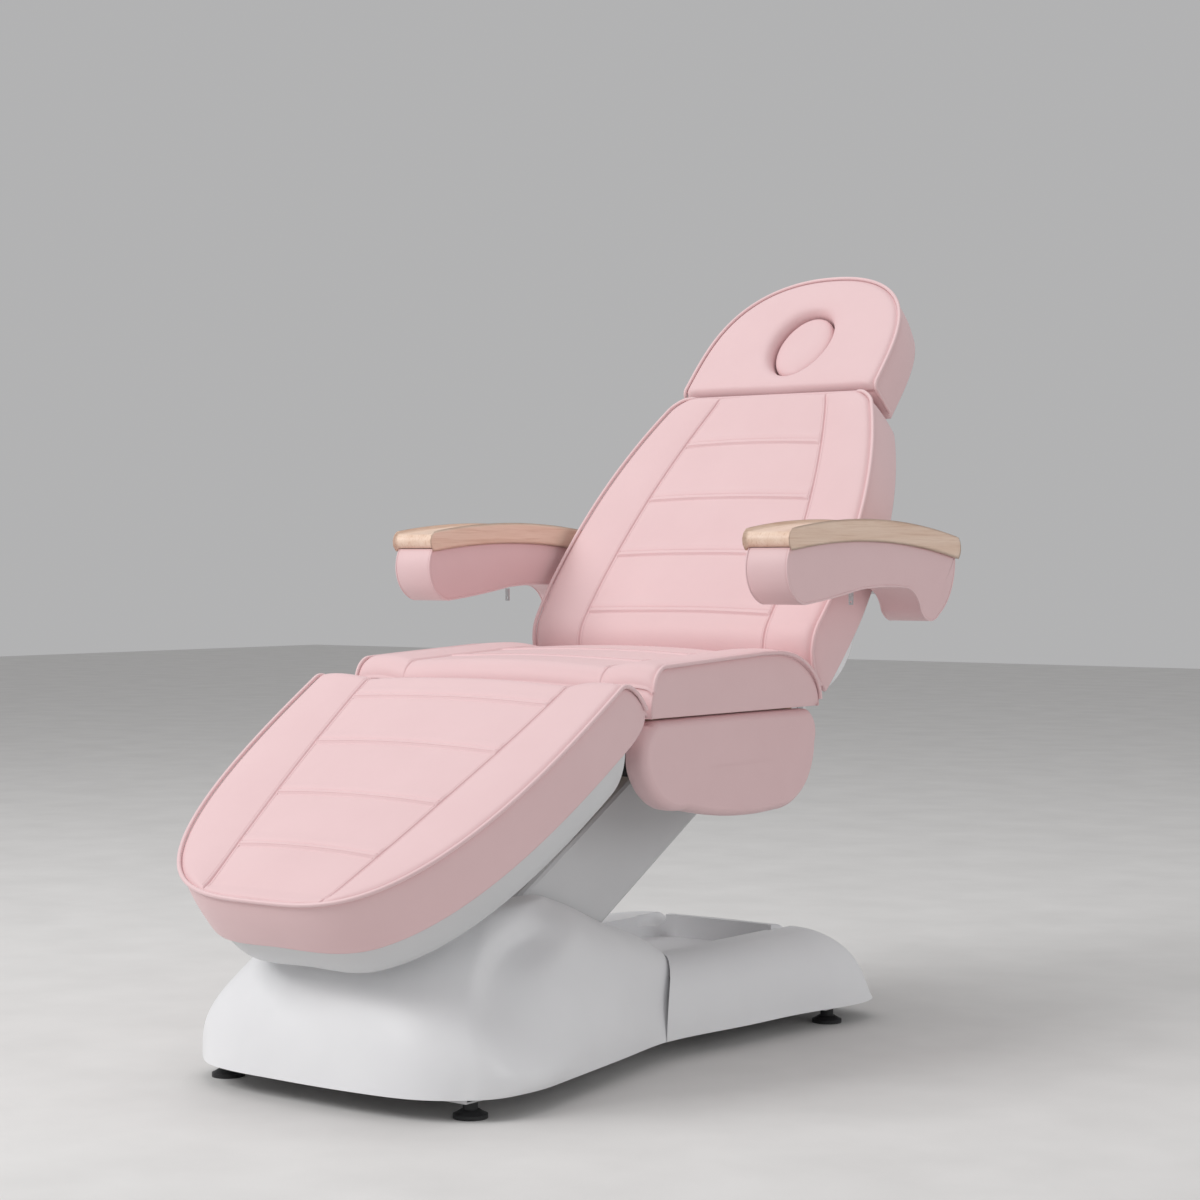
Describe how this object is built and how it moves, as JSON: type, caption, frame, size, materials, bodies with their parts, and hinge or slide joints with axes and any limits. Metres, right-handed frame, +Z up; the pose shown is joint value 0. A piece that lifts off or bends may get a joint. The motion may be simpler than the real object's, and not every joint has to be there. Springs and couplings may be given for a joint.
{
  "type": "electric beauty bed",
  "caption": "Padded electric beauty bed with tilting leg rest and backrest, adjustable headrest with a face hole and plug, swing-up armrests with wooden tops, on a lift arm and covered base.",
  "frame": {"origin": "on the floor, under the middle of the bed's length and width at rest", "axes": "+X to the right of someone who looks from the foot end to the head end, +Y from the foot end to the head end, +Z up"},
  "size_m": [0.816, 1.5853, 1.3117],
  "materials": {
    "pink_leather": "soft satin faux leather over foam",
    "white_plastic": "white ABS with a fine grain",
    "beech": "light lacquered wood",
    "board": "plain plywood",
    "white_steel": "white powder coat",
    "bright_steel": "bright steel",
    "black_plastic": "black moulded plastic"
  },
  "bodies": {
    "base": {"base_side_rails": "white_steel", "base_cross_tubes": "white_steel", "pivot_towers": "white_steel", "lower_pivot_pins": "bright_steel", "lift_actuator_mount": "white_steel", "front_base_cover": "white_plastic", "rear_base_cover": "white_plastic", "cover_brackets": "white_steel", "foot_pads": "black_plastic", "foot_studs": "black_plastic", "control_box": "black_plastic", "mains_inlet": "black_plastic"},
    "lift_arm": {"lift_arm": "white_steel", "arm_bushes": "black_plastic", "lift_arm_cover": "white_plastic"},
    "parallel_links": {"left_parallel_link": "white_steel", "right_parallel_link": "white_steel"},
    "lift_actuator": {"lift_actuator_housing": "black_plastic"},
    "lift_rod": {"lift_actuator_rod": "bright_steel"},
    "seat": {"seat_rails": "white_steel", "seat_cross_tubes": "white_steel", "carriage_plates": "white_steel", "upper_pivot_pins": "bright_steel", "seat_board": "board", "seat_cushion": "pink_leather", "left_side_pad": "pink_leather", "right_side_pad": "pink_leather", "side_pad_brackets": "white_steel", "seat_hinge_lugs": "white_steel", "hinge_pins": "bright_steel", "back_actuator_housing": "black_plastic", "leg_actuator_housing": "black_plastic"},
    "back_rod": {"back_actuator_rod": "bright_steel"},
    "leg_rod": {"leg_actuator_rod": "bright_steel"},
    "legrest": {"legrest_frame": "white_steel", "legrest_board": "board", "legrest_shell": "white_plastic", "legrest_cushion": "pink_leather", "legrest_lever": "white_steel"},
    "backrest": {"backrest_frame": "white_steel", "backrest_board": "board", "backrest_shell": "white_plastic", "backrest_cushion": "pink_leather", "backrest_lever": "white_steel", "headrest_sleeves": "bright_steel", "armrest_brackets": "white_steel"},
    "headrest_slider": {"headrest_bars": "bright_steel"},
    "headrest": {"headrest_board": "board", "headrest_clamps": "white_steel", "headrest_cushion": "pink_leather"},
    "face_plug": {"face_plug": "pink_leather"},
    "left_armrest": {"left_armrest_core": "white_steel", "left_armrest_pad": "pink_leather", "left_armrest_wood": "beech"},
    "right_armrest": {"right_armrest_core": "white_steel", "right_armrest_pad": "pink_leather", "right_armrest_wood": "beech"},
    "left_zip_pull": {"left_zip_pull": "bright_steel"},
    "right_zip_pull": {"right_zip_pull": "bright_steel"}
  },
  "joints": [
    {"name": "lift", "type": "hinge", "parent": "base", "child": "lift_arm", "pos_m": [0, -0.3605, 0.135], "axis": [1, 0, 0], "range_deg": [0, 26]},
    {"name": "seat_level", "type": "hinge", "parent": "lift_arm", "child": "seat", "pos_m": [0, 0.15912, 0.435], "axis": [1, 0, 0], "range_deg": [-26, 0.5]},
    {"name": "link_swing", "type": "hinge", "parent": "base", "child": "parallel_links", "pos_m": [0, -0.3959, 0.1895], "axis": [1, 0, 0], "range_deg": [-0.5, 26]},
    {"name": "lift_actuator_swing", "type": "hinge", "parent": "base", "child": "lift_actuator", "pos_m": [0, -0.1805, 0.067], "axis": [1, 0, 0], "range_deg": [-0.5, 19]},
    {"name": "lift_rod_slide", "type": "slide", "parent": "lift_actuator", "child": "lift_rod", "axis": [0, 0.125, 0.9922], "range_m": [-0.001, 0.0815]},
    {"name": "leg_rest", "type": "hinge", "parent": "seat", "child": "legrest", "pos_m": [0, -0.2685, 0.528], "axis": [-1, 0, 0], "range_deg": [0, 33]},
    {"name": "leg_rod_slide", "type": "slide", "parent": "seat", "child": "leg_rod", "axis": [0, -1, 0], "range_m": [-0.001, 0.0475]},
    {"name": "back_rest", "type": "hinge", "parent": "seat", "child": "backrest", "pos_m": [0, 0.2445, 0.54], "axis": [1, 0, 0], "range_deg": [-52, 8]},
    {"name": "back_rod_slide", "type": "slide", "parent": "seat", "child": "back_rod", "axis": [0, 1, 0], "range_m": [-0.0765, 0.015]},
    {"name": "headrest_slide", "type": "slide", "parent": "backrest", "child": "headrest_slider", "axis": [0, 0.6115, 0.7912], "range_m": [0, 0.1]},
    {"name": "headrest_tilt", "type": "hinge", "parent": "headrest_slider", "child": "headrest", "pos_m": [0, 0.64111, 1.04194], "axis": [1, 0, 0], "range_deg": [-40, 0]},
    {"name": "face_plug_slide", "type": "slide", "parent": "headrest", "child": "face_plug", "axis": [0, -0.749, 0.6626], "range_m": [0, 0.15]},
    {"name": "left_armrest_swing", "type": "hinge", "parent": "backrest", "child": "left_armrest", "pos_m": [-0.36, 0.42952, 0.74038], "axis": [-1, 0, 0], "range_deg": [-52, 90]},
    {"name": "right_armrest_swing", "type": "hinge", "parent": "backrest", "child": "right_armrest", "pos_m": [0.36, 0.42952, 0.74038], "axis": [-1, 0, 0], "range_deg": [-52, 90]},
    {"name": "left_zip_pull_swing", "type": "hinge", "parent": "left_armrest", "child": "left_zip_pull", "pos_m": [-0.362, 0.2095, 0.736], "axis": [1, 0, 0], "range_deg": [-60, 60]},
    {"name": "right_zip_pull_swing", "type": "hinge", "parent": "right_armrest", "child": "right_zip_pull", "pos_m": [0.362, 0.2095, 0.736], "axis": [1, 0, 0], "range_deg": [-60, 60]}
  ],
  "couplings": [
    {"joint": "seat_level", "follows": "lift", "ratio": -1},
    {"joint": "link_swing", "follows": "lift", "ratio": 1},
    {"joint": "lift_actuator_swing", "follows": "lift", "ratio": 0.7211},
    {"joint": "lift_rod_slide", "follows": "lift", "m_per_rad": 0.17923},
    {"joint": "leg_rod_slide", "follows": "leg_rest", "m_per_rad": 0.0823},
    {"joint": "back_rod_slide", "follows": "back_rest", "m_per_rad": 0.083766}
  ]
}
